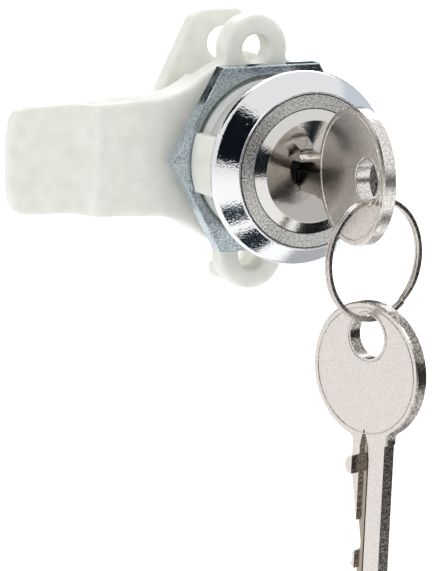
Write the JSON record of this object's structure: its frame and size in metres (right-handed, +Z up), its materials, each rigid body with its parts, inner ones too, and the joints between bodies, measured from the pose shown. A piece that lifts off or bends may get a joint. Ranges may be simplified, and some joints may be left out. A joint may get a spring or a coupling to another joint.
{
  "type": "cabinet cylinder lock",
  "caption": "Key-operated cylinder lock for a cabinet door, with a nylon lever that has a latch tongue and rod holes, a panel nut, two keys and a split ring.",
  "frame": {"origin": "on the lock's axis, in the rear face of the bezel, where the door panel seats", "axes": "+Y along the lock's axis into the cabinet, +Z up, +X to the right seen from the front"},
  "size_m": [0.0593, 0.0642, 0.0908],
  "materials": {
    "chrome_zinc": "chromed zinc die casting, polished",
    "satin_zinc": "fine turned nickel-plated zinc",
    "white_nylon": "natural white nylon, injection moulded",
    "zinc_plate": "blue zinc plate on steel",
    "spring_steel": "bright spring steel",
    "nickel_key": "nickel-plated brass, stamped and milled",
    "brass": "stamped brass"
  },
  "bodies": {
    "lock_case": {"bezel": "chrome_zinc", "cylinder_barrel": "satin_zinc", "panel_neck": "white_nylon", "hex_nut": "zinc_plate", "snap_ring": "spring_steel"},
    "plug_and_lever": {"plug": "chrome_zinc", "stop_disc": "zinc_plate", "lever": "white_nylon", "cam_washer": "zinc_plate", "cam_screw": "zinc_plate", "wafer_spring_1": "spring_steel", "wafer_spring_2": "spring_steel", "wafer_spring_3": "spring_steel", "wafer_spring_4": "spring_steel", "wafer_spring_5": "spring_steel"},
    "wafer_1_body": {"wafer_1": "brass"},
    "wafer_2_body": {"wafer_2": "brass"},
    "wafer_3_body": {"wafer_3": "brass"},
    "wafer_4_body": {"wafer_4": "brass"},
    "wafer_5_body": {"wafer_5": "brass"},
    "inserted_key": {"key_in_lock": "nickel_key"},
    "split_ring": {"key_ring": "spring_steel"},
    "hanging_key": {"spare_key": "nickel_key"}
  },
  "joints": [
    {"name": "plug_turn", "type": "hinge", "parent": "lock_case", "child": "plug_and_lever", "pos_m": [0, 0, 0], "axis": [0, 1, 0], "range_deg": [0, 90]},
    {"name": "key_withdraw", "type": "slide", "parent": "plug_and_lever", "child": "inserted_key", "axis": [0, -1, 0], "range_m": [0, 0.078]},
    {"name": "wafer_1_lift", "type": "slide", "parent": "plug_and_lever", "child": "wafer_1_body", "axis": [0, 0, 1], "range_m": [0, 0.0019], "stiffness_N_per_m": 20, "deforming": ["wafer_spring_1"]},
    {"name": "wafer_2_lift", "type": "slide", "parent": "plug_and_lever", "child": "wafer_2_body", "axis": [0, 0, 1], "range_m": [0, 0.0009], "stiffness_N_per_m": 20, "deforming": ["wafer_spring_2"]},
    {"name": "wafer_3_lift", "type": "slide", "parent": "plug_and_lever", "child": "wafer_3_body", "axis": [0, 0, 1], "range_m": [0, 0.0014], "stiffness_N_per_m": 20, "deforming": ["wafer_spring_3"]},
    {"name": "wafer_4_lift", "type": "slide", "parent": "plug_and_lever", "child": "wafer_4_body", "axis": [0, 0, 1], "range_m": [0, 0.0005], "stiffness_N_per_m": 20, "deforming": ["wafer_spring_4"]},
    {"name": "wafer_5_lift", "type": "slide", "parent": "plug_and_lever", "child": "wafer_5_body", "axis": [0, 0, 1], "range_m": [0, 0.0011], "stiffness_N_per_m": 20, "deforming": ["wafer_spring_5"]},
    {"name": "ring_swing", "type": "hinge", "parent": "inserted_key", "child": "split_ring", "pos_m": [0.00035, -0.02585, -0.00115], "axis": [0.9703, 0.2419, 0], "range_deg": [-20, 20]},
    {"name": "spare_swing", "type": "hinge", "parent": "split_ring", "child": "hanging_key", "pos_m": [0.00035, -0.02585, -0.02005], "axis": [0.9703, 0.2419, 0], "range_deg": [-15, 15]}
  ]
}
